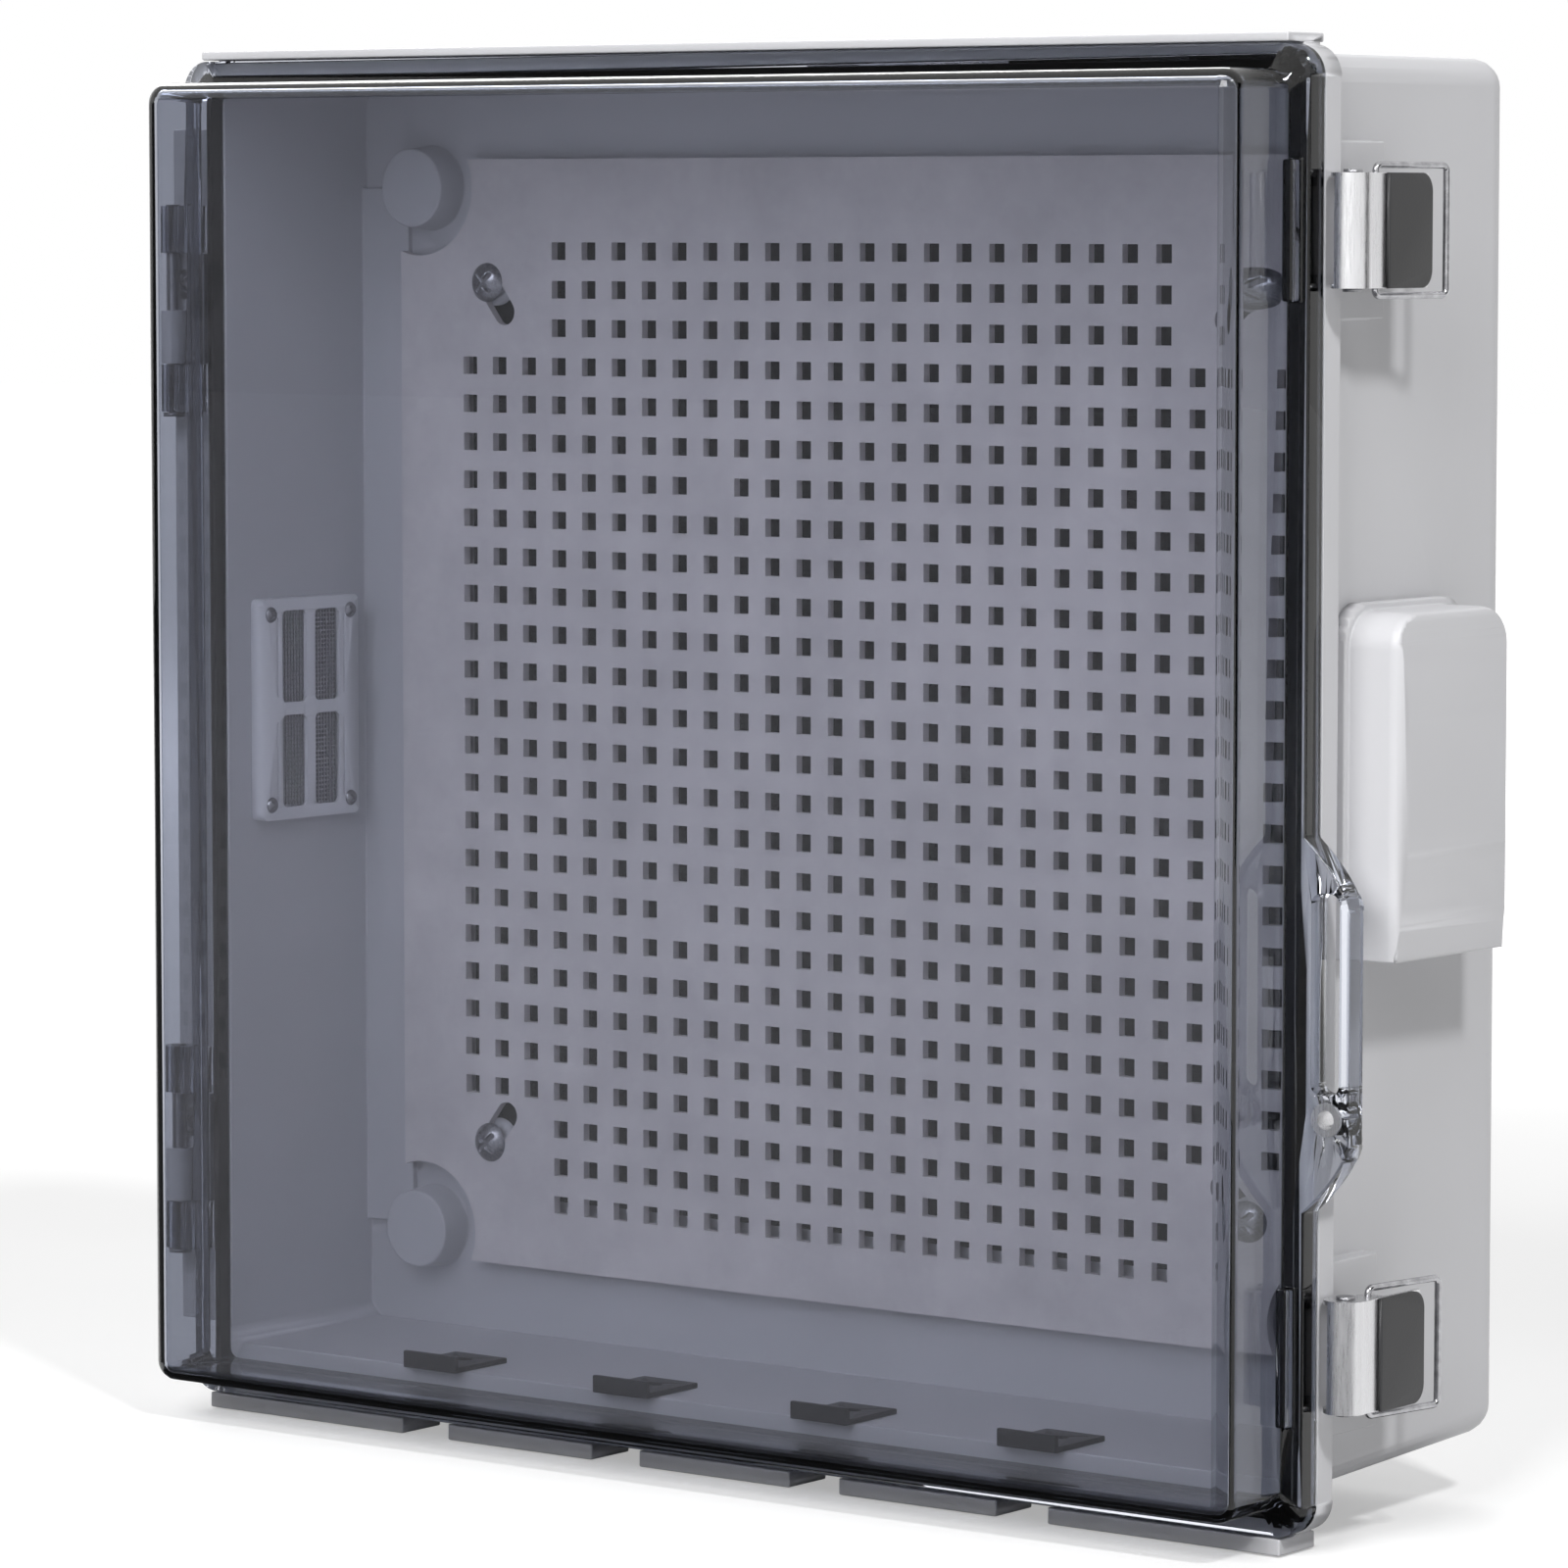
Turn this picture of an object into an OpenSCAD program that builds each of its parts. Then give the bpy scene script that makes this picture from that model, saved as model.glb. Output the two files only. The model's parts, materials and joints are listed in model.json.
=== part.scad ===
// Wall-mounted junction box: drafted base, clear domed lid hinged on the left,
// two draw latches on the right, side vents with rain hoods and a perforated plate.
// Frame: +Z up, the lid faces -Y, the origin is midway between the four wall inserts, in the wall's plane Y = 0.
// The modules draw with Z = 0 at the lid's centre, and placed() moves them to the wall inserts.

/* [Lid] */
// Width of the lid flange and of the base rim
lid_w = 400; // [340:1:460]
// Height of the lid flange and of the base rim
lid_h = 400; // [380:1:480]
// Thickness of the lid flange
flange_t = 7.5; // [6.5:0.1:9]
// Corner radius of the lid flange and of the base rim
flange_r = 9; // [6:0.5:14]
// How far the window dome stands out of the flange
dome_d = 26; // [16:1:40]
// Flange left showing around the dome
dome_inset = 6.7; // [6:0.1:9]
// Corner radius of the dome, seen from the front
dome_r = 6; // [5.5:0.5:10]
// Rounding of the dome's front edge
dome_edge = 5; // [3:0.5:5]
// Wall thickness of the lid
lid_wall = 3; // [2.4:0.1:3.6]
// Width of the gasket
gasket_w = 4.4; // [3:0.1:5]
// Thickness of the gasket
gasket_t = 4; // [2.5:0.1:4.5]
// Flange edge to the outer side of the gasket
gasket_edge = 4.3; // [3:0.1:5]

/* [Base] */
// Thickness of the base rim behind the lid
rim_t = 7.7; // [6:0.1:10]
// Depth of the body behind the rim
body_d = 98.5; // [95:0.5:140]
// Step from the rim to the body at the sides
inset_side = 6; // [5:0.5:8]
// Step from the rim to the body at the top
inset_top = 2; // [1:0.5:6]
// Step from the rim to the body at the bottom
inset_bottom = 9.5; // [5:0.5:12]
// How much the body's top falls towards the wall
taper_top = 0.2; // [0:0.1:1]
// How much each side leans in towards the wall
taper_side = 2.5; // [0:0.1:3]
// How much the body's bottom rises towards the wall
taper_bottom = 3.5; // [1:0.1:4]
// Corner radius of the body
body_r = 8; // [7:0.5:12]
// Side wall thickness at the rim
wall = 4.2; // [4:0.1:5]
// Top wall thickness at the rim
roof_wall = 5; // [4:0.1:6]
// Bottom wall thickness at the rim
floor_wall = 5; // [4.5:0.1:6]
// Depth of the open pocket behind the back panel
pocket_d = 38; // [25:1:40]
// Thickness of the pocket's edge
pocket_wall = 6.5; // [6:0.1:9]
// Thickness of the back panel
back_t = 3.5; // [3:0.1:5]
// Thickness of the rain bar on top of the rim
rain_bar_t = 2.5; // [1.5:0.1:4]
// Thickness of the bars under the rim
foot_bar_t = 4.6; // [3:0.1:6]
// Depth of the bars from the lid's front
bar_d = 17.5; // [16:0.5:20]
// Rim edge to the end of the bars
bar_end = 7; // [6.5:0.5:20]
// Spacing of the gaps between the bars under the rim
bar_pitch = 72; // [60:1:80]
// Width of the gaps between the bars under the rim
bar_gap = 17.5; // [8:0.5:25]

/* [Inside] */
// Cavity side to the axis of a corner boss
boss_side = 26.3; // [25:0.1:32]
// Cavity top or bottom to the axis of a corner boss
boss_end = 30.3; // [27:0.1:34]
// Radius of the corner bosses
boss_r = 11.8; // [9:0.1:14]
// How far the corner bosses stand out of the back panel
boss_h = 10; // [6:0.5:14]
// Radius of the brass wall inserts
insert_r = 4.5; // [4:0.1:6]
// Length of the brass wall inserts
insert_l = 15; // [8:0.5:24]
// Radius of the threaded hole in the inserts
insert_bore_r = 2.5; // [2:0.1:3]
// Cavity side to the edge of the mounting plate
plate_side = 18.8; // [16:0.1:26]
// Cavity top or bottom to the edge of the mounting plate
plate_end = 21.75; // [18:0.25:28]
// Thickness of the mounting plate
plate_t = 2.8; // [1.5:0.1:4]
// Height of the pads that carry the mounting plate
pad_h = 3.2; // [2.5:0.1:8]
// Radius of the pads that carry the mounting plate
pad_r = 7; // [6:0.5:9]
// Plate's side edge to the axis of its screws
plate_screw_side = 34; // [30:0.5:40]
// Plate's upper or lower edge to the axis of its screws
plate_screw_end = 37; // [34:0.5:42]
// Width of the plate's slots
slot_w = 8; // [6.5:0.1:9]
// Travel of the screws in the plate's slots
slot_travel = 11; // [6:0.5:13]
// Steepness of the plate's slots
slot_angle = 53; // [40:1:60]
// Space around the corner bosses in the plate
boss_clear = 8.7; // [2:0.1:10]
// Spacing of the plate's square holes
grid_pitch = 11.5; // [10:0.1:20]
// Side of the plate's square holes
grid_hole = 5.3; // [3:0.1:7]
// Plate edge to the nearest hole
grid_margin = 17; // [15:0.5:40]
// Hole grid's centre below the plate's centre
grid_drop = 3.75; // [0:0.25:6]
// Depth of the ledges beside the mounting plate
ledge_h = 2; // [1:0.1:2.5]
// Width of a floor clip
clip_w = 20; // [12:0.5:26]
// Length of a floor clip
clip_l = 24; // [16:0.5:32]
// How far the floor clips reach out of the rim
clip_out = 4.5; // [0:0.1:6]
// Thickness of a floor clip
clip_t = 1.6; // [1:0.1:3]
// Height of a floor clip's lip
clip_lip = 5; // [3:0.1:9]

/* [Hinges] */
// Flange edge to the hinge axis
hinge_out = 7; // [6.6:0.1:9]
// Lid front to the hinge axis
hinge_back = 2; // [1:0.1:2.4]
// Lid's upper or lower edge to the middle of each hinge
hinge_end = 73.5; // [60:0.5:100]
// Radius of the hinge knuckles
knuckle_r = 4; // [3.5:0.1:4.5]
// Length of each lid knuckle
knuckle_l = 14; // [8:0.5:20]
// Radius of the hinge pins
hinge_pin_r = 2; // [1.5:0.05:2.5]
// Height of the hinge brackets
bracket_h = 32.6; // [28:0.2:40]
// Thickness of the hinge bracket leaf
leaf_t = 3.2; // [2.6:0.1:3.4]
// Radius of the hinge screw heads
hinge_head_r = 4.5; // [3.5:0.1:5]

/* [Latches] */
// Lid's upper or lower edge to the middle of each latch
latch_end = 49.5; // [45:0.5:65]
// Rim edge to the lever's pivot
lever_out = 6.5; // [6:0.1:9]
// Rim front to the lever's pivot
lever_back = 3.2; // [2:0.1:4]
// Outer radius of the lever's nose
nose_r = 6.2; // [5.2:0.1:6.2]
// Height of the lever
lever_h = 30.6; // [24:0.2:34]
// Thickness of the lever's sheet
lever_t = 1.2; // [0.8:0.1:1.5]
// Lever pivot to the end of the tongue
tongue_l = 27.8; // [22:0.2:36]
// Length of the dark grip on the tongue
grip_l = 21.3; // [12:0.1:21.5]
// Thickness of the grip
grip_t = 1.3; // [0.8:0.1:3]
// Lever pivot to the bail pivot, towards the wall
bail_back = 8.9; // [8.2:0.1:11]
// Lever pivot to the bail pivot, outwards
bail_out = 1.5; // [0:0.1:2.4]
// Length of the bail, pivot to closed end
bail_l = 27.8; // [24:0.1:34]
// How far the folded bail leans outwards
bail_lean = 10.3; // [4:0.1:14]
// Radius of the bail's wire
wire_r = 0.95; // [0.7:0.05:1]
// Radius of the latch pins
latch_pin_r = 1.5; // [1.2:0.05:1.8]
// Radius of the latch pins' heads
latch_head_r = 2.6; // [2.2:0.1:3]
// Height of the catch ribs on the lid
catch_h = 37.6; // [24:0.2:44]
// How far the catch ribs stand out
catch_d = 4.5; // [2:0.1:7]
// Thickness of the catch ribs
catch_t = 3.4; // [2:0.1:4]
// Height of the pads behind the latches
latch_pad_h = 47.5; // [42:0.5:56]
// Length of the pads behind the latches
latch_pad_l = 24.6; // [14:0.2:28]

/* [Pull ear] */
// How far the ear stands out of the flange
ear_out = 14; // [12:0.5:20]
// Height of the top of the ear below the lid's centre
ear_top = 10.5; // [5:0.5:14]
// Height of the ear
ear_h = 101; // [90:1:105]
// Height of the ear's sloping ends
ear_slope = 19.5; // [14:0.5:22]
// Height of the finger window
window_h = 54; // [30:1:58]
// Width of the ear's outer bar
ear_bar = 3; // [2:0.1:4]
// Lower end of the ear to the eyelet's axis
eyelet_up = 26; // [20:0.5:28]
// Outer edge of the ear to the eyelet's axis
eyelet_in = 6.5; // [5.6:0.1:8]
// Radius of the eyelet's hole
eyelet_bore_r = 2.6; // [2:0.1:3]
// Radius of the eyelet's tube
eyelet_r = 3.4; // [3.2:0.1:3.8]
// Radius of the eyelet's flanges
eyelet_flange_r = 4.6; // [4.2:0.1:5.5]

/* [Vents] */
// Lid front to the middle of the hoods
hood_back = 52; // [50:0.5:56]
// Middle of the hoods above the lid's centre
hood_up = 2.5; // [-4:0.5:8]
// Width of the hoods
hood_w = 60; // [56:0.5:62]
// Height of the hoods
hood_h = 96; // [88:1:120]
// How far the hoods stand out of the body
hood_out = 21.4; // [16:0.2:28]
// Thickness of the hoods' base plate
hood_base_t = 4; // [3:0.1:5]
// Wall thickness of the hoods
hood_wall = 2.4; // [1.8:0.1:3]
// Corner radius of the hoods
hood_r = 10; // [8:0.5:14]
// How far the hoods' outer face bulges
hood_bulge = 2.4; // [1:0.1:3]
// Rounding of the hoods' outer edge
hood_edge = 5; // [3:0.5:6]
// Hood middle to the frame's middle, towards the lid
frame_shift = 12; // [9:0.5:12.5]
// Middle of the vent frames above the lid's centre
frame_up = 5.5; // [0:0.5:8]
// Width of the inner vent frames
frame_w = 43.6; // [40:0.2:48]
// Height of the inner vent frames
frame_h = 67; // [60:0.5:74]
// Thickness of the inner vent frames
frame_t = 4.8; // [3:0.1:6]
// Width of each vent window
vent_w = 11.2; // [6:0.1:13]
// Height of each vent window
vent_h = 28; // [18:0.5:30]
// Bar between the vent windows
vent_bar = 3.7; // [2:0.1:5]
// Thickness of the vent frames' bars in front of the mesh
vent_land = 1.3; // [0.8:0.1:1.6]
// Thickness of the vent mesh
mesh_t = 0.8; // [0.4:0.1:1.2]
// Frame edge to the axis of its screws
frame_screw_in = 3.7; // [3:0.1:4.5]
// Radius of the vent screws' heads
vent_head_r = 2.4; // [1.8:0.1:2.6]

/* [Clearances] */
// Lid flange to base rim
seal_gap = 0.3; // [0.2:0.05:0.6]
// Between pieces that move past each other
run_gap = 0.4; // [0.3:0.05:0.5]
// Pins in the holes they turn in
pin_gap = 0.05; // [0.03:0.01:0.08]
// Pins and screws in the holes that hold them
hold_gap = 0.02; // [0.01:0.01:0.05]

/* [Hidden] */
$fn = 48;

shell_grey = [0.80, 0.80, 0.81];
clear_blue = [0.55, 0.60, 0.68, 0.45];
plate_grey = [0.72, 0.73, 0.75];
rubber_black = [0.05, 0.05, 0.05];
grip_grey = [0.27, 0.27, 0.27];
steel = [0.78, 0.78, 0.80];
brass = [0.72, 0.58, 0.30];

// Planes along Y, from the wall to the front of the dome
rim_rear_y = -body_d;
rim_y = rim_rear_y - rim_t;
lid_y = rim_y - seal_gap;
flange_y = lid_y - flange_t;
dome_y = flange_y - dome_d;
panel_y = -pocket_d - back_t;

// Body and cavity, half width and heights
body_hw = lid_w / 2 - inset_side;
body_top = lid_h / 2 - inset_top;
body_bottom = -lid_h / 2 + inset_bottom;
cav_hw = body_hw - wall;
cav_top = body_top - roof_wall;
cav_bottom = body_bottom + floor_wall;
cav_mid = (cav_top + cav_bottom) / 2;
cav_hh = (cav_top - cav_bottom) / 2;
cav_r = 4.5;
back_edge = [9, 5];
edge_steps = 4;
corner_steps = 6;
over = 1;

// Bosses and mounting plate
boss_x = cav_hw - boss_side;
boss_dz = cav_hh - boss_end;
boss_draft = 1;
plate_hw = cav_hw - plate_side;
plate_hh = cav_hh - plate_end;
plate_rear_y = panel_y - pad_h;
plate_y = plate_rear_y - plate_t;
plate_screw_x = plate_hw - plate_screw_side;
plate_screw_dz = plate_hh - plate_screw_end;
plate_screw_r = 2.4;
plate_head_r = 6;
plate_head_h = 3.2;
plate_screw_bite = 2.4;
grid_cols = 2 * floor((plate_hw - grid_margin - grid_hole / 2) / grid_pitch + 0.5);
grid_rows = 2 * floor((plate_hh - grid_drop - grid_margin - grid_hole / 2) / grid_pitch + 0.5);
grid_short_rows = 3;
grid_short_cols = 3;
blind_holes = [[8, 6], [7, 17]];

// Hinges
hinge_x = -lid_w / 2 - hinge_out;
hinge_y = flange_y + hinge_back;
leaf_out_x = hinge_x - knuckle_r - 1;
leaf_in_x = -lid_w / 2 - run_gap;
leaf_y = rim_y - leaf_t;
base_knuckle_top = -0.5;
hinge_screw_up = 7.2;
hinge_screw_x = (leaf_out_x + leaf_in_x) / 2;
hinge_screw_r = 1.8;
hinge_screw_l = 8;
hinge_head_h = 2.1;
hinge_counter = 1.9;
rail_end = 20;
pin_head_r = 3.2;
pin_head_h = 1.2;
knuckle_start = bracket_h / 2 + run_gap;
knuckle_end = knuckle_start + knuckle_l;

// Latches
lever_x = lid_w / 2 + lever_out;
lever_y = rim_y + lever_back;
bail_x = lever_x + bail_out;
bail_y = lever_y + bail_back;
tongue_x = lever_x + nose_r;
tongue_end_y = lever_y + tongue_l;
grip_y = tongue_end_y - grip_l;
nose_start = 90;
nose_stop = 200;
hinge_z = lid_h / 2 - hinge_end;
latch_z = lid_h / 2 - latch_end;
lug_h = lever_h - 2 * lever_t - 2 * run_gap - 4;
lug_r = 2.8;
lug_w = 4.6;
head_t = 0.8;
head_gap = 0.1;
ear_bail_r = 3;
arm_z = lever_h / 2 + head_gap + head_t + run_gap / 2 + wire_r;
stub_in = 2.4;
bend_r = 1.6;
latch_pad_x = body_hw + 4;
catch_x = lid_w / 2 - 2.5;

// Pull ear
ear_x = lid_w / 2 + ear_out;
ear_bottom = -ear_top - ear_h;
eyelet_x = ear_x - eyelet_in;
eyelet_z = ear_bottom + eyelet_up;
eyelet_lip = 1;
window_in = 2;
window_top = ear_top + ear_slope * 0.75;

// Vents
hood_y = flange_y + hood_back;
frame_y = hood_y - frame_shift;
frame_x = cav_hw - frame_t;
vent_dy = (vent_w + vent_bar) / 2;
vent_dz = (vent_h + vent_bar) / 2;
mesh_edge = 1.2;
mesh_x = frame_x + vent_land;
mesh_w = 2 * vent_w + vent_bar + 2 * mesh_edge;
mesh_h = 2 * vent_h + vent_bar + 2 * mesh_edge;
frame_screw_dy = frame_w / 2 - frame_screw_in;
frame_screw_dz = frame_h / 2 - frame_screw_in - 1;
vent_screw_r = 1.4;
vent_head_h = 1.6;
vent_bite = 2.4;
groove_w = 0.7;
groove_d = 0.6;
groove_out = vent_dy + vent_w / 2 + 2.2;
hood_step = 2;

// Extrudes a plan drawn in X and Z between two planes along Y
module along_y(y0, y1) {
    translate([0, y1, 0]) rotate([90, 0, 0]) linear_extrude(y1 - y0) children();
}

// Extrudes a plan drawn in Y and Z between two planes along X
module along_x(x0, x1) {
    translate([x0, 0, 0]) rotate([90, 0, 90]) linear_extrude(x1 - x0) children();
}

// Extrudes a plan drawn in X and Y between two heights
module along_z(z0, z1) {
    translate([0, 0, z0]) linear_extrude(z1 - z0) children();
}

// Box between two opposite corners
module block(a, b) {
    translate(a) cube(b - a);
}

// Rounded rectangle with exact arcs
module rounded(w, h, r) {
    square([w - 2 * r, h], center = true);
    square([w, h - 2 * r], center = true);
    for (sx = [-1, 1], sy = [-1, 1])
        translate([sx * (w / 2 - r), sy * (h / 2 - r)]) circle(r);
}

// Rounded rectangle whose lower corners are square
module arched(w, h, r) {
    translate([-w / 2, -h / 2]) square([w, h - r]);
    translate([-w / 2 + r, -h / 2]) square([w - 2 * r, h]);
    for (sx = [-1, 1])
        translate([sx * (w / 2 - r), h / 2 - r]) circle(r);
}

// Pin along Y, its head towards the front
module rod_y(y0, y1, r) {
    translate([0, y1, 0]) rotate([90, 0, 0]) cylinder(h = y1 - y0, r = r);
}

// Pin along X
module rod_x(x0, x1, r) {
    translate([x0, 0, 0]) rotate([0, 90, 0]) cylinder(h = x1 - x0, r = r);
}

// Outline of one level of a loft: half width, bottom, top and corner radius
function loft_ring(hw, z0, z1, r) = [
    for (c = [0:3], i = [0:corner_steps])
        let (a = 90 * c + 90 * i / corner_steps,
             cx = (c == 0 || c == 3) ? hw - r : r - hw,
             cz = c < 2 ? z1 - r : z0 + r)
        [cx + r * cos(a), cz + r * sin(a)]
];

// Solid through rounded rectangles, each level being [y, half width, bottom, top, corner radius]
module loft(levels) {
    rings = [for (l = levels) loft_ring(l[1], l[2], l[3], l[4])];
    m = len(rings[0]);
    k = len(levels);
    points = [for (j = [0:k - 1], p = rings[j]) [p[0], levels[j][0], p[1]]];
    sides = [
        for (j = [0:k - 2], i = [0:m - 1], half = [0, 1])
            let (a = j * m + i, b = j * m + (i + 1) % m)
            half == 0 ? [a, b, b + m] : [a, b + m, a + m]
    ];
    front = [for (i = [0:m - 1]) m - 1 - i];
    rear = [for (i = [0:m - 1]) (k - 1) * m + i];
    polyhedron(points, concat([front, rear], sides));
}

// Levels of a rounded front edge: the outline grows from the face to the side
function edge_levels(y, hw, z0, z1, r, edge) = [
    for (i = [0:edge_steps])
        let (t = 90 * i / edge_steps, in = edge * (1 - sin(t)))
        [y + edge * (1 - cos(t)), hw - in, z0 + in, z1 - in, max(r - in, 0.6)]
];

// Share of the way from the rim to the wall
function draft(y) = max(0, (y - rim_rear_y) / body_d);

// One level of the drafted body, moved inwards by off
function body_level(y, off, r) = [
    y, body_hw - taper_side * draft(y) - off,
    body_bottom + taper_bottom * draft(y) + off, body_top - taper_top * draft(y) - off, r
];

module body_solid() {
    edge_y = back_edge[0];
    edge_in = back_edge[1];
    loft(concat(
        [body_level(rim_rear_y - over, 0, body_r)],
        [for (i = [0:edge_steps])
            let (t = 90 * i / edge_steps, in = edge_in * (1 - cos(t)))
            body_level(-edge_y + edge_y * sin(t), in, body_r - in)]
    ));
}

module corner_bosses() {
    for (sx = [-1, 1], sz = [-1, 1])
        translate([sx * boss_x, 0, cav_mid + sz * boss_dz]) {
            translate([0, panel_y + over, 0]) rotate([90, 0, 0])
                cylinder(h = boss_h + over, r1 = boss_r + boss_draft, r2 = boss_r);
            rod_y(-pocket_d - over, 0, boss_r);
        }
}

module plate_pads() {
    for (sx = [-1, 1], sz = [-1, 1])
        translate([sx * plate_screw_x, 0, cav_mid + sz * plate_screw_dz])
            rod_y(plate_rear_y, panel_y + over, pad_r);
}

module side_ledges() {
    for (sx = [-1, 1]) {
        x0 = sx > 0 ? plate_hw + run_gap : -cav_hw - over;
        x1 = sx > 0 ? cav_hw + over : -plate_hw - run_gap;
        block([x0, panel_y - ledge_h, cav_mid - boss_dz], [x1, panel_y + over, cav_mid + boss_dz]);
    }
}

// Bars above and below the rim, standing over the lid's edges with a running gap
module rim_bars() {
    bar_hw = lid_w / 2 - bar_end;
    z_top = lid_h / 2 + run_gap;
    z_low = -lid_h / 2 - run_gap;
    block([-bar_hw, flange_y, z_top], [bar_hw, flange_y + bar_d, z_top + rain_bar_t]);
    block([-bar_hw, rim_y, z_top - run_gap - over], [bar_hw, rim_rear_y, z_top + over]);
    difference() {
        union() {
            block([-bar_hw, flange_y, z_low - foot_bar_t], [bar_hw, flange_y + bar_d, z_low]);
            block([-bar_hw, rim_y, z_low - over], [bar_hw, rim_rear_y, z_low + run_gap + over]);
        }
        for (k = [-1.5:1:1.5])
            block([k * bar_pitch - bar_gap / 2, flange_y - over, z_low - foot_bar_t - over],
                  [k * bar_pitch + bar_gap / 2, flange_y + bar_d + over, z_low + run_gap]);
    }
}

module hinge_rail() {
    block([leaf_out_x, rim_y, -lid_h / 2 + rail_end], [-lid_w / 2 + over, rim_rear_y, lid_h / 2 - rail_end]);
}

// Pad and pivot lug that carry one latch, drawn about the latch's middle
module latch_seat() {
    block([body_hw - over, rim_rear_y - over, -latch_pad_h / 2],
          [latch_pad_x, rim_rear_y + latch_pad_l, latch_pad_h / 2]);
    translate([lever_x, lever_y, -lug_h / 2]) linear_extrude(lug_h) {
        circle(lug_r);
        rotate(135) translate([0, -lug_w / 2]) square([lever_x - latch_pad_x + lug_w, lug_w]);
    }
}

module vent_hole() {
    block([body_hw - wall - over, frame_y - vent_dy - vent_w / 2, frame_up - vent_dz - vent_h / 2],
          [body_hw + over, frame_y + vent_dy + vent_w / 2, frame_up + vent_dz + vent_h / 2]);
}

// Places children at the four screws of one vent
module at_vent_screws() {
    for (sy = [-1, 1], sz = [-1, 1])
        translate([0, frame_y + sy * frame_screw_dy, frame_up + sz * frame_screw_dz]) children();
}

// Flat seat of a hood on the leaning side wall
module hood_seat() {
    translate([0, hood_y, hood_up]) along_x(cav_hw + over, body_hw) arched(hood_w - 1, hood_h - 1, hood_r);
}

module enclosure_base() {
    color(shell_grey) difference() {
        union() {
            difference() {
                union() {
                    along_y(rim_y, rim_rear_y) rounded(lid_w, lid_h, flange_r);
                    body_solid();
                }
                loft([
                    [rim_y - over, cav_hw, cav_bottom, cav_top, cav_r],
                    [panel_y, cav_hw, cav_bottom, cav_top, cav_r]
                ]);
                loft([
                    body_level(-pocket_d, pocket_wall, cav_r),
                    [over, body_hw - taper_side - pocket_wall, body_bottom + taper_bottom + pocket_wall,
                     body_top - taper_top - pocket_wall, cav_r]
                ]);
            }
            corner_bosses();
            plate_pads();
            side_ledges();
            rim_bars();
            hinge_rail();
            for (sz = [-1, 1])
                translate([0, 0, sz * latch_z]) latch_seat();
            for (mx = [0, 1])
                mirror([mx, 0, 0]) hood_seat();
        }
        for (sx = [-1, 1], sz = [-1, 1]) {
            translate([sx * boss_x, 0, cav_mid + sz * boss_dz])
                rod_y(-insert_l - hold_gap, over, insert_r + hold_gap);
            translate([sx * plate_screw_x, 0, cav_mid + sz * plate_screw_dz])
                rod_y(plate_rear_y - over, panel_y + plate_screw_bite, plate_screw_r + hold_gap);
        }
        for (sz = [-1, 1]) {
            translate([hinge_screw_x, 0, sz * hinge_z + hinge_screw_up])
                rod_y(rim_y - over, rim_y + hinge_screw_l - leaf_t + hinge_counter, hinge_screw_r + hold_gap);
            translate([lever_x, lever_y, sz * latch_z - lug_h])
                cylinder(h = 2 * lug_h, r = latch_pin_r + hold_gap);
        }
        for (sx = [0, 1])
            mirror([sx, 0, 0]) {
                vent_hole();
                at_vent_screws() rod_x(cav_hw - over, cav_hw + vent_bite, vent_screw_r + hold_gap);
            }
    }
}

module dome_outer() {
    loft(concat(
        edge_levels(dome_y, lid_w / 2 - dome_inset, dome_inset - lid_h / 2, lid_h / 2 - dome_inset, dome_r, dome_edge),
        [[flange_y + over, lid_w / 2 - dome_inset, dome_inset - lid_h / 2, lid_h / 2 - dome_inset, dome_r]]
    ));
}

module dome_inner() {
    in = dome_inset + lid_wall;
    edge = max(dome_edge - lid_wall, 0.5);
    r = max(dome_r - lid_wall, 1);
    loft(concat(
        edge_levels(dome_y + lid_wall, lid_w / 2 - in, in - lid_h / 2, lid_h / 2 - in, r, edge),
        [[lid_y + over, lid_w / 2 - in, in - lid_h / 2, lid_h / 2 - in, r]]
    ));
}

module gasket_ring() {
    rounded(lid_w - 2 * gasket_edge, lid_h - 2 * gasket_edge, flange_r - gasket_edge);
}

module gasket_hole() {
    rounded(lid_w - 2 * gasket_edge - 2 * gasket_w, lid_h - 2 * gasket_edge - 2 * gasket_w, 1);
}

// Upper end of the ear: a soft slope from the flange out to the full width
function ear_end(t) = let (
    a = [lid_w / 2, -ear_top],
    b = [ear_x - 1, -ear_top - ear_slope * 0.6],
    c = [ear_x, -ear_top - ear_slope]
) (1 - t) * (1 - t) * a + 2 * t * (1 - t) * b + t * t * c;

// Plan of the pull ear, in X and Z
module ear_plan() {
    steps = 10;
    mid_z = -ear_top - ear_h / 2;
    upper = [for (i = [0:steps]) ear_end(i / steps)];
    lower = [for (i = [0:steps]) let (p = upper[steps - i]) [p[0], 2 * mid_z - p[1]]];
    difference() {
        polygon(concat([[lid_w / 2 - over, -ear_top]], upper, lower, [[lid_w / 2 - over, ear_bottom]]));
        translate([(lid_w / 2 + window_in + ear_x - ear_bar) / 2, -window_top - window_h / 2])
            rounded(ear_out - window_in - ear_bar, window_h, 3);
        translate([eyelet_x, eyelet_z]) circle(eyelet_r + hold_gap);
    }
}

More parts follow.
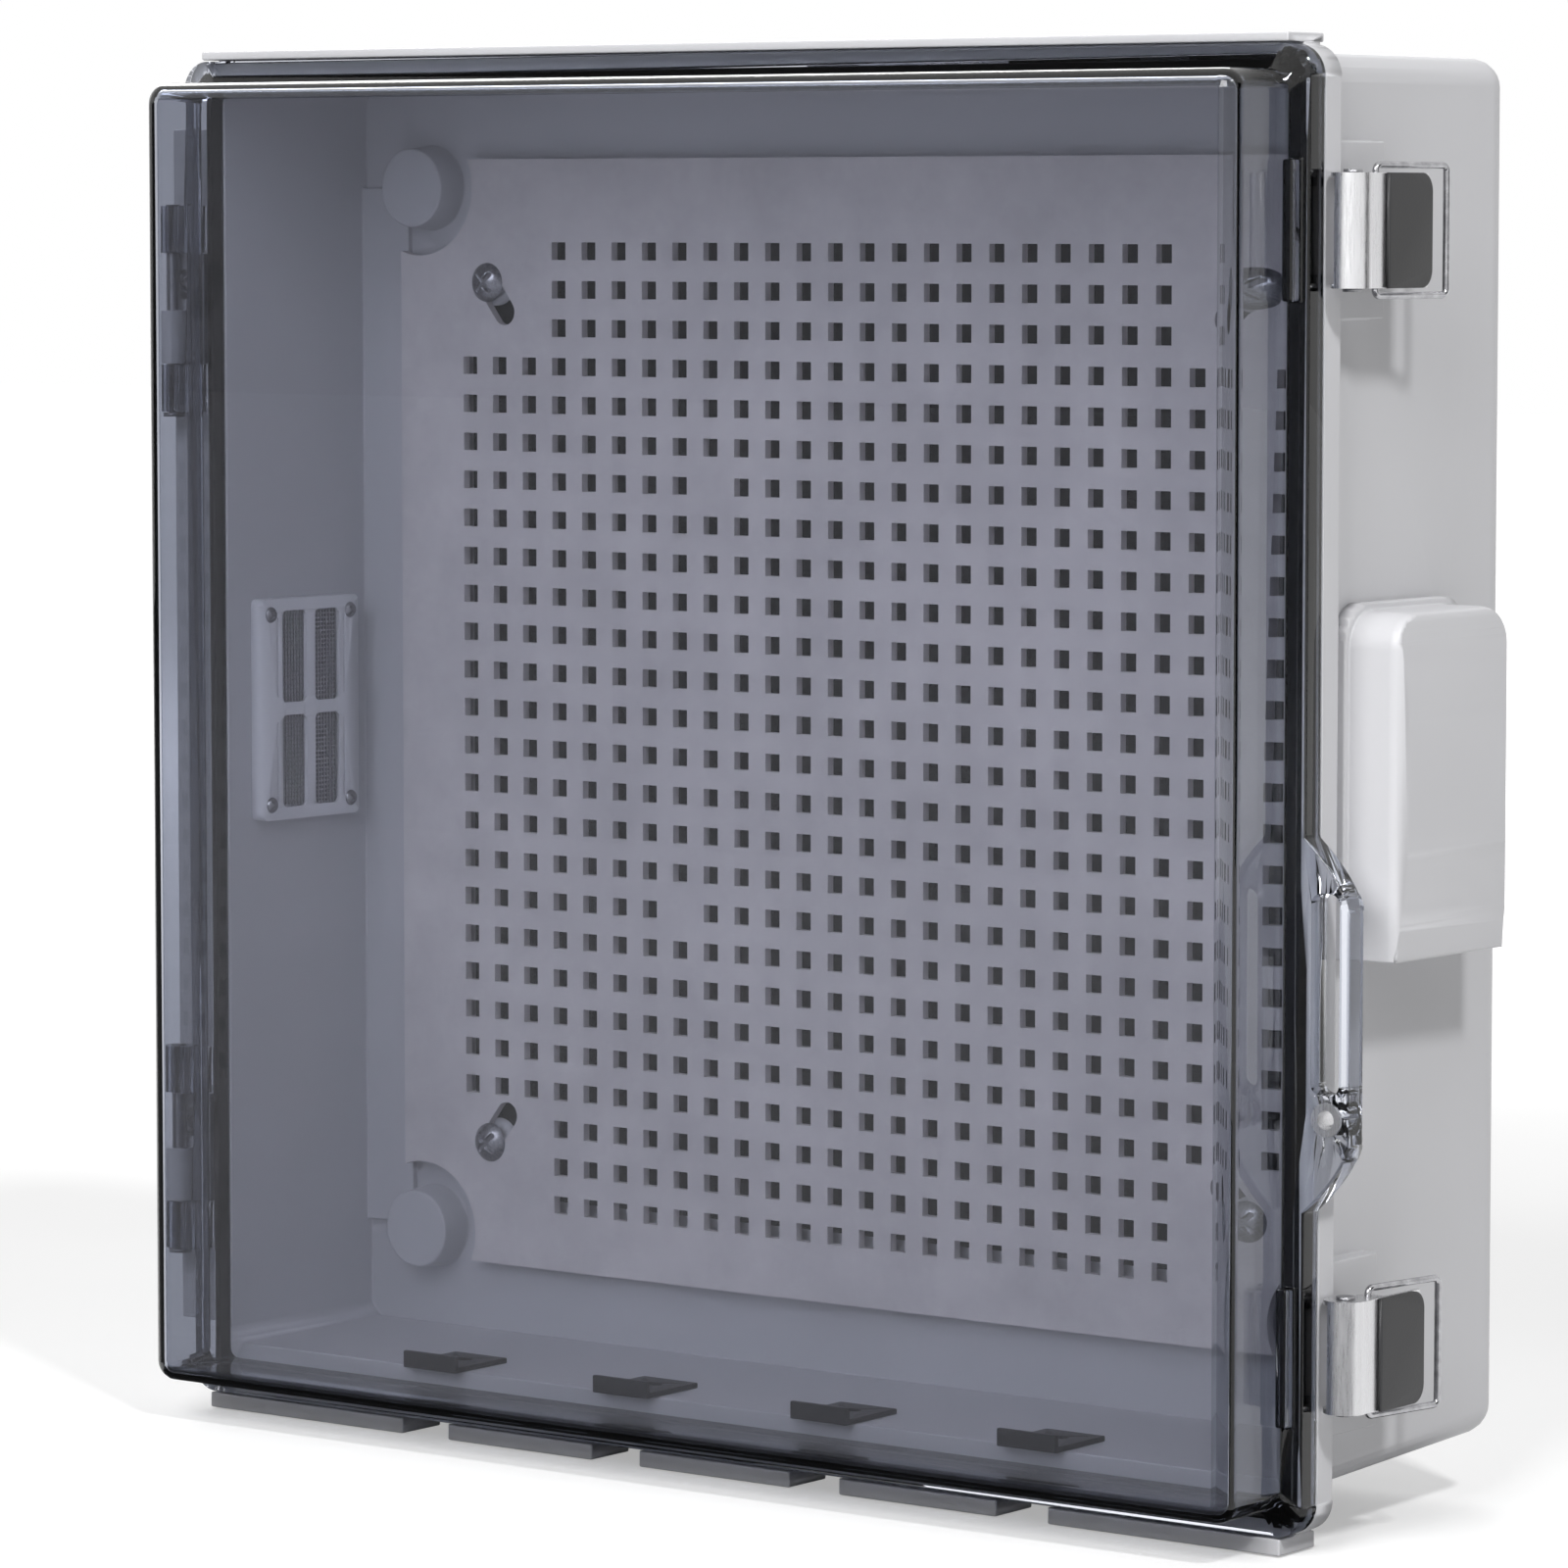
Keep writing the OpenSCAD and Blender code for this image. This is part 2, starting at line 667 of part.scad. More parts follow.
module lid_cover() {
    color(clear_blue) {
        difference() {
            union() {
                along_y(flange_y, lid_y) rounded(lid_w, lid_h, flange_r);
                dome_outer();
                along_y(flange_y, lid_y) ear_plan();
                for (sz = [-1, 1]) {
                    translate([0, 0, sz * latch_z])
                        block([catch_x - catch_t, flange_y - catch_d, -catch_h / 2],
                              [catch_x, flange_y + over, catch_h / 2]);
                    translate([0, 0, sz * hinge_z]) lid_knuckles();
                }
            }
            dome_inner();
            along_y(lid_y - gasket_t, lid_y + over) difference() {
                gasket_ring();
                gasket_hole();
            }
            for (sz = [-1, 1])
                translate([hinge_x, hinge_y, sz * hinge_z - 2 * knuckle_end])
                    cylinder(h = 4 * knuckle_end, r = hinge_pin_r + pin_gap);
        }
    }
}

// Two lid knuckles with their arms, about the middle of a hinge
module lid_knuckles() {
    for (z = [-knuckle_end, knuckle_start])
        translate([0, 0, z]) {
            translate([hinge_x, hinge_y, 0]) cylinder(h = knuckle_l, r = knuckle_r);
            block([hinge_x, hinge_y - knuckle_r, 0], [-lid_w / 2 + over, hinge_y + knuckle_r - 0.5, knuckle_l]);
        }
}

module lid_gasket() {
    color(rubber_black) along_y(lid_y - gasket_t, lid_y) difference() {
        gasket_ring();
        gasket_hole();
    }
}

// True where the plate has a hole at this column and row
function has_hole(c, r) =
    !((r < grid_short_rows || r >= grid_rows - grid_short_rows)
        && (c < grid_short_cols || c >= grid_cols - grid_short_cols))
    && len([for (b = blind_holes) if (b[0] == c && b[1] == r) 1]) == 0;

// Square hole of the plate at one column and row
module grid_cut(c, r) {
    x = (c - (grid_cols - 1) / 2) * grid_pitch;
    z = ((grid_rows - 1) / 2 - r) * grid_pitch - grid_drop;
    block([x - grid_hole / 2, plate_y - over, z - grid_hole / 2],
          [x + grid_hole / 2, plate_rear_y + over, z + grid_hole / 2]);
}

// Slot from a screw towards the middle of the plate
module plate_slot() {
    rotate([0, 180 - slot_angle, 0]) {
        rod_y(plate_y - over, plate_rear_y + over, slot_w / 2);
        block([0, plate_y - over, -slot_w / 2], [slot_travel, plate_rear_y + over, slot_w / 2]);
        translate([slot_travel, 0, 0]) rod_y(plate_y - over, plate_rear_y + over, slot_w / 2);
    }
}

module mounting_plate() {
    color(plate_grey) translate([0, 0, cav_mid]) difference() {
        block([-plate_hw, plate_y, -plate_hh], [plate_hw, plate_rear_y, plate_hh]);
        for (r = [0:grid_rows - 1], c = [0:grid_cols - 1])
            if (has_hole(c, r)) grid_cut(c, r);
        for (mx = [0, 1], mz = [0, 1])
            mirror([mx, 0, 0]) mirror([0, 0, mz]) {
                translate([boss_x, 0, boss_dz])
                    rod_y(plate_y - over, plate_rear_y + over, boss_r + boss_clear);
                translate([plate_screw_x, 0, plate_screw_dz]) plate_slot();
            }
    }
}

// Pan head with a cross slot, its seat at y = 0 and its top towards the front
module pan_head_y(r, h) {
    slot = r / 4;
    difference() {
        rotate([90, 0, 0]) rotate_extrude() intersection() {
            translate([0, h - (r * r + h * h) / (2 * h)]) circle((r * r + h * h) / (2 * h), $fn = 96);
            square([r, h]);
        }
        for (a = [45, 135])
            rotate([0, a, 0]) block([-r * 0.62, -h - over, -slot / 2], [r * 0.62, -h * 0.5, slot / 2]);
    }
}

module plate_screws() {
    color(steel) for (sx = [-1, 1], sz = [-1, 1])
        translate([sx * plate_screw_x, plate_y, cav_mid + sz * plate_screw_dz]) {
            pan_head_y(plate_head_r, plate_head_h);
            rod_y(-0.01, plate_t + pad_h + plate_screw_bite - 0.2, plate_screw_r);
        }
}

module wall_inserts() {
    color(brass) for (sx = [-1, 1], sz = [-1, 1])
        translate([sx * boss_x, 0, cav_mid + sz * boss_dz]) difference() {
            rod_y(-insert_l, 0, insert_r);
            rod_y(-insert_l - over, over, insert_bore_r);
        }
}

// Floor clip at the k-th gap of the lower bars
module floor_clip(k) {
    clip_y = rim_y - clip_out;
    color(rubber_black) translate([k * bar_pitch, clip_y, cav_bottom]) difference() {
        union() {
            block([-clip_w / 2, 0, 0], [clip_w / 2, clip_l, clip_t]);
            block([-clip_w / 2, 0, 0], [clip_w / 2, clip_t, clip_lip]);
        }
        hole_r = clip_w / 5;
        for (dx = [-hole_r / 2, hole_r / 2])
            translate([dx, clip_l * 0.6, -over]) cylinder(h = clip_t + 2 * over, r = hole_r / 2);
        block([-hole_r / 2, clip_l * 0.6 - hole_r / 2, -over], [hole_r / 2, clip_l * 0.6 + hole_r / 2, clip_t + over]);
    }
}

module floor_clip_1() { floor_clip(-1.5); }
module floor_clip_2() { floor_clip(-0.5); }
module floor_clip_3() { floor_clip(0.5); }
module floor_clip_4() { floor_clip(1.5); }

// Bracket screwed to the hinge rail, with its knuckle below the screw
module hinge_bracket(side) {
    color(shell_grey) translate([0, 0, side * hinge_z]) difference() {
        union() {
            block([leaf_out_x, leaf_y, -bracket_h / 2], [leaf_in_x, rim_y, bracket_h / 2]);
            translate([hinge_x, hinge_y, -bracket_h / 2])
                cylinder(h = bracket_h / 2 + base_knuckle_top, r = knuckle_r);
            block([hinge_x - knuckle_r + 0.5, hinge_y, -bracket_h / 2],
                  [hinge_x + knuckle_r - 0.5, leaf_y + over, base_knuckle_top]);
        }
        translate([hinge_x, hinge_y, -bracket_h])
            cylinder(h = 2 * bracket_h, r = hinge_pin_r + hold_gap);
        translate([hinge_screw_x, 0, hinge_screw_up]) {
            rod_y(leaf_y - over, rim_y + over, hinge_screw_r + hold_gap);
            rod_y(leaf_y - over, leaf_y + hinge_counter, hinge_head_r + 0.2);
        }
    }
}

module hinge_bracket_upper() { hinge_bracket(1); }
module hinge_bracket_lower() { hinge_bracket(-1); }

module hinge_pin(side) {
    color(steel) translate([hinge_x, hinge_y, side * hinge_z]) {
        translate([0, 0, -knuckle_end - run_gap]) cylinder(h = 2 * knuckle_end + 2 * run_gap, r = hinge_pin_r);
        translate([0, 0, -knuckle_end - run_gap - pin_head_h]) cylinder(h = pin_head_h, r = pin_head_r);
    }
}

module hinge_pin_upper() { hinge_pin(1); }
module hinge_pin_lower() { hinge_pin(-1); }

module hinge_screws() {
    color(steel) for (sz = [-1, 1])
        translate([hinge_screw_x, leaf_y + hinge_counter, sz * hinge_z + hinge_screw_up]) {
            pan_head_y(hinge_head_r, hinge_head_h);
            rod_y(-0.01, hinge_screw_l - 0.2, hinge_screw_r);
        }
}

// Part ring about the lever's pivot; angles run clockwise from +Y, seen from above
module nose_plan() {
    reach = 2 * nose_r;
    spread = [for (i = [0:4]) nose_start + (nose_stop - nose_start) * i / 4];
    difference() {
        intersection() {
            circle(nose_r);
            polygon(concat([[0, 0]], [for (a = spread) reach * [sin(a), cos(a)]]));
        }
        circle(nose_r - lever_t);
    }
}

// Side flange of the lever about its pivot
module lever_ear_plan() {
    circle(nose_r - lever_t / 4);
    translate([bail_out, bail_back]) circle(ear_bail_r);
    polygon([
        [-nose_r * 0.9, nose_r * 0.4], [bail_out - ear_bail_r, bail_back], [bail_out, bail_back + ear_bail_r],
        [nose_r, bail_back + ear_bail_r], [nose_r, 0]
    ]);
}

module latch_lever(side) {
    color(steel) translate([lever_x, lever_y, side * latch_z]) difference() {
        union() {
            along_z(-lever_h / 2, lever_h / 2) nose_plan();
            block([nose_r - lever_t, 0, -lever_h / 2], [nose_r, tongue_l, lever_h / 2]);
            for (sz = [-1, 1])
                translate([0, 0, sz * (lever_h - lever_t) / 2]) along_z(-lever_t / 2, lever_t / 2) lever_ear_plan();
        }
        translate([0, 0, -lever_h]) cylinder(h = 2 * lever_h, r = latch_pin_r + pin_gap);
        translate([bail_out, bail_back, -lever_h]) cylinder(h = 2 * lever_h, r = wire_r + pin_gap);
    }
}

module latch_lever_upper() { latch_lever(1); }
module latch_lever_lower() { latch_lever(-1); }

module latch_grip(side) {
    grip_r = 5;
    color(grip_grey) translate([tongue_x, grip_y + grip_l / 2, side * latch_z]) along_x(0, grip_t) {
        rounded(grip_l, lever_h, grip_r);
        translate([-grip_l / 2, -lever_h / 2]) square([grip_l / 2, lever_h]);
    }
}

module latch_grip_upper() { latch_grip(1); }
module latch_grip_lower() { latch_grip(-1); }

// Quarter bend of the wire, from +X round to +Z
module wire_bend() {
    rotate([90, 0, 0]) rotate_extrude(angle = 90) translate([bend_r, 0]) circle(wire_r);
}

// One half of the bail above its middle, drawn along X from the pivot
module bail_half() {
    stub_z = lever_h / 2 - lever_t - stub_in;
    translate([0, 0, stub_z]) cylinder(h = arm_z - bend_r - stub_z, r = wire_r);
    translate([bend_r, 0, arm_z - bend_r]) mirror([1, 0, 0]) wire_bend();
    translate([0, 0, arm_z]) rod_x(bend_r, bail_l - bend_r, wire_r);
    translate([bail_l - bend_r, 0, arm_z - bend_r]) wire_bend();
    translate([bail_l, 0, 0]) cylinder(h = arm_z - bend_r, r = wire_r);
}

module latch_bail(side) {
    color(steel) translate([bail_x, bail_y, side * latch_z]) rotate([0, 0, 90 - bail_lean]) {
        bail_half();
        mirror([0, 0, 1]) bail_half();
    }
}

module latch_bail_upper() { latch_bail(1); }
module latch_bail_lower() { latch_bail(-1); }

module latch_pin(side) {
    color(steel) translate([lever_x, lever_y, side * latch_z]) {
        translate([0, 0, -lever_h / 2 - head_gap]) cylinder(h = lever_h + 2 * head_gap, r = latch_pin_r);
        for (z = [-lever_h / 2 - head_gap - head_t, lever_h / 2 + head_gap])
            translate([0, 0, z]) cylinder(h = head_t, r = latch_head_r);
    }
}

module latch_pin_upper() { latch_pin(1); }
module latch_pin_lower() { latch_pin(-1); }

module padlock_eyelet() {
    color(steel) translate([eyelet_x, 0, eyelet_z]) difference() {
        union() {
            rod_y(flange_y - eyelet_lip, lid_y + eyelet_lip, eyelet_r);
            rod_y(flange_y - eyelet_lip, flange_y, eyelet_flange_r);
            rod_y(lid_y, lid_y + eyelet_lip, eyelet_flange_r);
        }
        rod_y(flange_y - 2 * eyelet_lip, lid_y + 2 * eyelet_lip, eyelet_bore_r);
    }
}

// Hood on the right-hand wall, open at the bottom
module vent_hood() {
    hw = hood_w / 2 - hood_step;
    top = hood_h / 2 - hood_step;
    low = -hood_h / 2;
    plate_x = body_hw + hood_base_t;
    out_x = body_hw + hood_out;
    bulge_r = (hood_h * hood_h / 4 + hood_bulge * hood_bulge) / (2 * hood_bulge);
    color(shell_grey) difference() {
        translate([0, hood_y, hood_up]) difference() {
            union() {
                along_x(body_hw, plate_x) arched(hood_w, hood_h, hood_r);
                intersection() {
                    rotate([0, 0, -90]) mirror([0, 1, 0])
                        loft(concat(
                            edge_levels(-out_x, hw, low - hood_r - hood_edge, top, hood_r, hood_edge),
                            [[-plate_x + over, hw, low - hood_r - hood_edge, top, hood_r]]
                        ));
                    translate([out_x - bulge_r, hood_w, 0]) rotate([90, 0, 0])
                        cylinder(h = 2 * hood_w, r = bulge_r, $fn = 360);
                    block([body_hw, -hood_w, low], [out_x + over, hood_w, hood_h]);
                }
            }
            rotate([0, 0, -90]) mirror([0, 1, 0])
                loft([
                    [-out_x + hood_wall + hood_bulge, hw - hood_wall - 1, low - 2 * hood_r,
                     top - hood_wall - 1, hood_r - hood_wall],
                    [-plate_x, hw - hood_wall, low - 2 * hood_r, top - hood_wall, hood_r - hood_wall]
                ]);
        }
        translate([wall, 0, 0]) vent_hole();
    }
}

module vent_hood_left() { mirror([1, 0, 0]) vent_hood(); }
module vent_hood_right() { vent_hood(); }

// Window frame on the inside of the right-hand wall
module vent_frame() {
    color(shell_grey) difference() {
        translate([0, frame_y, frame_up]) along_x(frame_x, cav_hw) rounded(frame_w, frame_h, 2);
        for (sy = [-1, 1], sz = [-1, 1])
            translate([0, frame_y + sy * vent_dy, frame_up + sz * vent_dz])
                along_x(frame_x - over, cav_hw + over) rounded(vent_w, vent_h, 2);
        block([mesh_x, frame_y - mesh_w / 2, frame_up - mesh_h / 2],
              [cav_hw + over, frame_y + mesh_w / 2, frame_up + mesh_h / 2]);
        for (sy = [-1, 1], sz = [-1, 1])
            block([frame_x - over, frame_y + sy * groove_out - groove_w / 2, frame_up + sz * vent_dz - vent_h / 2 + 2],
                  [frame_x + groove_d, frame_y + sy * groove_out + groove_w / 2, frame_up + sz * vent_dz + vent_h / 2 - 2]);
        at_vent_screws() rod_x(frame_x - over, cav_hw + over, vent_screw_r + hold_gap);
    }
}

module vent_frame_left() { mirror([1, 0, 0]) vent_frame(); }
module vent_frame_right() { vent_frame(); }

module vent_mesh() {
    color(grip_grey) block(
        [mesh_x, frame_y - mesh_w / 2 + hold_gap, frame_up - mesh_h / 2 + hold_gap],
        [mesh_x + mesh_t, frame_y + mesh_w / 2 - hold_gap, frame_up + mesh_h / 2 - hold_gap]);
}

module vent_mesh_left() { mirror([1, 0, 0]) vent_mesh(); }
module vent_mesh_right() { vent_mesh(); }

module vent_screws() {
    color(steel) at_vent_screws() {
        translate([frame_x, 0, 0]) rotate([0, 0, -90]) pan_head_y(vent_head_r, vent_head_h);
        rod_x(frame_x - 0.01, cav_hw + vent_bite - 0.2, vent_screw_r);
    }
}

module vent_screws_left() { mirror([1, 0, 0]) vent_screws(); }
module vent_screws_right() { vent_screws(); }

// Moves the lid-centred drawing so that Z = 0 is midway between the wall inserts
module placed() {
    translate([0, 0, -cav_mid]) children();
}

placed() enclosure_base();
placed() lid_cover();
placed() lid_gasket();
placed() mounting_plate();
placed() plate_screws();
placed() wall_inserts();
placed() floor_clip_1();
placed() floor_clip_2();
placed() floor_clip_3();
placed() floor_clip_4();
placed() hinge_bracket_upper();
placed() hinge_bracket_lower();
placed() hinge_pin_upper();
placed() hinge_pin_lower();
placed() hinge_screws();
placed() latch_lever_upper();
placed() latch_lever_lower();
placed() latch_grip_upper();
placed() latch_grip_lower();
placed() latch_bail_upper();
placed() latch_bail_lower();
placed() latch_pin_upper();
placed() latch_pin_lower();
placed() padlock_eyelet();
placed() vent_hood_left();
placed() vent_hood_right();
placed() vent_frame_left();
placed() vent_frame_right();
placed() vent_mesh_left();
placed() vent_mesh_right();
placed() vent_screws_left();
placed() vent_screws_right();
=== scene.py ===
# %% [markdown]
# # Dressing a junction box with a clear hinged lid
#
# The solids of the box are already exact: they were drawn as CAD and load here as a fixed frame.
# What Blender adds is the look: soft moulded edges, plastic, steel, rubber, wire mesh and studio light.
# Everything is in metres, with the front of the box facing -Y, its latches on the +X side and Z up.

# %% Load the imported solids
import json
import math

import bmesh
import bpy
from mathutils import Matrix, Vector


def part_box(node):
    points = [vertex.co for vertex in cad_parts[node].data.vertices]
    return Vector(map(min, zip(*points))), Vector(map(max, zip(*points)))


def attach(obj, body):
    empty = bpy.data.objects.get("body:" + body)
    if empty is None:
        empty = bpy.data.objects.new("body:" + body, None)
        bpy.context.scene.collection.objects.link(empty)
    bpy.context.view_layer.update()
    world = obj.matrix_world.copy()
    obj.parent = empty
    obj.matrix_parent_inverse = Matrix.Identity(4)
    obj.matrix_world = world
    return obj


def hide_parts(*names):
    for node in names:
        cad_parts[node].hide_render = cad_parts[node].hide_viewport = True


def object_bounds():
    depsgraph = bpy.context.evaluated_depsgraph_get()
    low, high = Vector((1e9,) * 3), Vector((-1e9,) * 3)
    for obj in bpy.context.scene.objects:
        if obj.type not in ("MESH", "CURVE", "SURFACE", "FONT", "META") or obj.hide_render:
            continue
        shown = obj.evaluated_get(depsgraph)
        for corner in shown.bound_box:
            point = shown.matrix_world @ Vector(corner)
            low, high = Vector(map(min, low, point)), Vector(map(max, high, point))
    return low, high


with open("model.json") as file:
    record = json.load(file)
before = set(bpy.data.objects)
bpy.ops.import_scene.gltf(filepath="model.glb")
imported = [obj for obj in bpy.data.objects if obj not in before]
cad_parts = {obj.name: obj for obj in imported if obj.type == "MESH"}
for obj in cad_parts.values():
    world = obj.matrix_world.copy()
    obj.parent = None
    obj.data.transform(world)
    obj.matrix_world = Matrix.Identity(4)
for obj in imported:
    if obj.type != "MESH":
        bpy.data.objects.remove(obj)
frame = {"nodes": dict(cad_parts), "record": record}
solids_low, solids_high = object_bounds()
MM = 0.001
bodies = frame["record"]["behaviour"]["bodies"]
body_of_node = {node: body for body, nodes in bodies.items() for node in nodes}
print("solids:", len(frame["nodes"]), "size in mm:", [round(1000 * d, 1) for d in solids_high - solids_low])

# %% [markdown]
# ## How a finish is built
#
# No real surface is one flat colour. Moulded plastic has faint clouds and a fine grain, steel has draw lines,
# rubber is dusty. Each finish below is a Principled shader whose colour, roughness and bump come from noise
# on Object coordinates, so a pattern stays put on its piece. Numbers that are the same all over are set on
# the shader itself.

# %% Small helpers for the finishes
NOISE_LOW, NOISE_HIGH = 0.3, 0.7  # nearly all of a noise's heights lie between these


def seen(red, green, blue):
    """A colour as a screen shows it, 0 to 255, as the linear values that a shader wants."""
    shares = [c / 255 for c in (red, green, blue)]
    return (*(((s + 0.055) / 1.055) ** 2.4 if s > 0.04045 else s / 12.92 for s in shares), 1)


def new_finish(name):
    """A material with its shader and its Object coordinates."""
    finish = bpy.data.materials.new(name)
    finish.use_nodes = True
    tree = finish.node_tree
    shader = tree.nodes["Principled BSDF"]
    coords = tree.nodes.new("ShaderNodeTexCoord").outputs["Object"]
    return finish, tree, shader, coords


def speckle(tree, coords, scale, detail=3.0, stretch=None, harsh=0.5):
    """Noise of so many cells to the metre; stretch draws it out, harsh favours its fine cells."""
    if stretch:
        mapping = tree.nodes.new("ShaderNodeMapping")
        mapping.inputs["Scale"].default_value = stretch
        tree.links.new(coords, mapping.inputs["Vector"])
        coords = mapping.outputs["Vector"]
    noise = tree.nodes.new("ShaderNodeTexNoise")
    noise.inputs["Scale"].default_value = scale
    noise.inputs["Detail"].default_value = detail
    noise.inputs["Roughness"].default_value = harsh
    tree.links.new(coords, noise.inputs["Vector"])
    return noise.outputs["Fac"]


def from_to(tree, value, low, high, start=0.0, end=1.0):
    """Runs from low to high as a value goes from start to end."""
    span = tree.nodes.new("ShaderNodeMapRange")
    span.inputs["From Min"].default_value = start
    span.inputs["From Max"].default_value = end
    span.inputs["To Min"].default_value = low
    span.inputs["To Max"].default_value = high
    tree.links.new(value, span.inputs["Value"])
    return span.outputs["Result"]


print("a middle grey is", [round(c, 3) for c in seen(128, 128, 128)], "to a shader")


# %% Colour, roughness and bump from a noise
def colour_from(tree, shader, height, dark, light):
    """Runs the base colour from dark to light with a height."""
    ramp = tree.nodes.new("ShaderNodeValToRGB")
    ramp.color_ramp.elements[0].position = NOISE_LOW
    ramp.color_ramp.elements[1].position = NOISE_HIGH
    ramp.color_ramp.elements[0].color = dark
    ramp.color_ramp.elements[1].color = light
    tree.links.new(height, ramp.inputs["Fac"])
    tree.links.new(ramp.outputs["Color"], shader.inputs["Base Color"])


def roughness_from(tree, shader, height, smooth, rough):
    """Runs the roughness from smooth to rough with a height."""
    roughness = from_to(tree, height, smooth, rough, NOISE_LOW, NOISE_HIGH)
    tree.links.new(roughness, shader.inputs["Roughness"])


def bump_from(tree, shader, height, depth, strength=0.5):
    """Raises the surface by up to depth metres with a height."""
    bump = tree.nodes.new("ShaderNodeBump")
    bump.inputs["Strength"].default_value = strength
    bump.inputs["Distance"].default_value = depth
    tree.links.new(height, bump.inputs["Height"])
    tree.links.new(bump.outputs["Normal"], shader.inputs["Normal"])


print("finish helpers ready")

# %% [markdown]
# ## The moulded plastics
#
# The shell is a pale grey moulding with a faint orange-peel grain. The mounting plate is a slightly warmer
# grey, with finer and stronger clouds, so it shows as a soft speckle through the lid. The vent frames are
# paler, the floor clips are black, and the latch grips are a dark soft-touch grey.

# %% Moulded plastics
COLOUR_CELLS, GLOSS_CELLS = 20, 14  # clouds to the metre
GLOSS_SPREAD = 0.03


def moulded(name, dark, light, rough, grain, depth, detail=1, harsh=0.5):
    """A moulded plastic: clouds in its colour and gloss, and a grain of so many cells to the metre."""
    finish, tree, shader, coords = new_finish(name)
    colour_from(tree, shader, speckle(tree, coords, COLOUR_CELLS, detail, harsh=harsh), dark, light)
    gloss = speckle(tree, coords, GLOSS_CELLS)
    roughness_from(tree, shader, gloss, rough - GLOSS_SPREAD, rough + GLOSS_SPREAD)
    bump_from(tree, shader, speckle(tree, coords, grain, detail=2), depth)
    return finish


pale_shell = moulded(
    "pale_moulded_shell", seen(196, 196, 199), seen(199, 199, 202), rough=0.42, grain=900, depth=0.03 * MM
)
plate_grey = moulded(
    "speckled_plate_grey", seen(198, 194, 195), seen(225, 221, 221), rough=0.55, grain=700, depth=0.1 * MM,
    detail=9, harsh=0.72
)
vent_grey = moulded(
    "vent_frame_grey", seen(226, 227, 230), seen(232, 233, 236), rough=0.4, grain=900, depth=0.04 * MM
)
clip_black = moulded(
    "floor_clip_black", seen(24, 24, 27), seen(34, 34, 38), rough=0.45, grain=800, depth=0.05 * MM
)
grip_dark = moulded(
    "soft_touch_grip", seen(36, 36, 37), seen(45, 45, 47), rough=0.5, grain=1600, depth=0.08 * MM
)
print("plastics:", [f.name for f in (pale_shell, plate_grey, vent_grey, clip_black, grip_dark)])

# %% [markdown]
# ### Painted shade on the panel behind the plate
#
# The holes of the plate look black, because what lies a few millimetres behind them gets hardly any light.
# The base's panel therefore gets painted shade: a near-black colour just where the plate covers it. The
# painted area
# is a box on Object coordinates: three Compare nodes, one for each axis, multiplied together.

# %% Painted shade on the panel behind the plate
# where the painted shade lies: a thin box on the panel, just behind the plate
PANEL_GAP = 3.2 * MM  # from the back of the plate to the panel
PANEL_LAYER = 1 * MM  # half the depth of the mask
PANEL_REACH = 147.5 * MM  # from the panel's middle to the mask's sides, which the plate hides


def combined(tree, operation, first, second):
    """One value made from two by a Math node."""
    node = tree.nodes.new("ShaderNodeMath")
    node.operation = operation
    tree.links.new(first, node.inputs[0])
    tree.links.new(second, node.inputs[1])
    return node.outputs["Value"]


def near(tree, value, middle, half):
    """1 where a value lies within half of a middle, 0 elsewhere."""
    node = tree.nodes.new("ShaderNodeMath")
    node.operation = "COMPARE"
    node.inputs[1].default_value = middle
    node.inputs[2].default_value = half
    tree.links.new(value, node.inputs[0])
    return node.outputs["Value"]


panel_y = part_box("mounting_plate")[1].y + PANEL_GAP
tree = pale_shell.node_tree
shader = tree.nodes["Principled BSDF"]
plain = shader.inputs["Base Color"].links[0].from_socket
axes = tree.nodes.new("ShaderNodeSeparateXYZ")
tree.links.new(tree.nodes["Texture Coordinate"].outputs["Object"], axes.inputs["Vector"])
across = near(tree, axes.outputs["X"], 0, PANEL_REACH)
deep = near(tree, axes.outputs["Y"], panel_y, PANEL_LAYER)
tall = near(tree, axes.outputs["Z"], 0, PANEL_REACH)
painted_shade_mask = combined(tree, "MULTIPLY", combined(tree, "MULTIPLY", across, deep), tall)
painted_shade_mix = tree.nodes.new("ShaderNodeMixRGB")
# painted shade: a near-black colour that stands in for the little light that reaches behind the plate
painted_shade_mix.inputs["Color2"].default_value = seen(24, 24, 28)
tree.links.new(painted_shade_mask, painted_shade_mix.inputs["Fac"])
tree.links.new(plain, painted_shade_mix.inputs["Color1"])
tree.links.new(painted_shade_mix.outputs["Color"], shader.inputs["Base Color"])
print("panel behind the plate at", round(1000 * panel_y, 2), "mm")

# %% [markdown]
# ## The smoked lid
#
# The lid is a clear plastic with a blue-grey smoke in it. A see-through veil would be quick to render, but
# it shows no thickness. The bright and black lines along the real lid's edges are light bent in its walls, so
# the lid is a true refracting solid: full transmission, the index of clear plastic, and a smoke tint that
# light takes on at each surface it crosses. The flat walls get a weaker mirror than the edges, so the holes
# behind them stay black.

# %% Smoked clear plastic
CLEAR_PLASTIC_INDEX = 1.49


def smoked(name, dark, light, mirror):
    """A refracting smoked plastic; mirror is how strongly its surface reflects, 0.5 for plain plastic."""
    finish, tree, shader, coords = new_finish(name)
    clouds = speckle(tree, coords, 9)
    colour_from(tree, shader, clouds, dark, light)
    roughness_from(tree, shader, clouds, 0.0, 0.004)
    bump_from(tree, shader, speckle(tree, coords, 12), depth=0.01 * MM, strength=0.05)
    shader.inputs["Transmission Weight"].default_value = 1.0
    shader.inputs["IOR"].default_value = CLEAR_PLASTIC_INDEX
    shader.inputs["Specular IOR Level"].default_value = mirror
    return finish


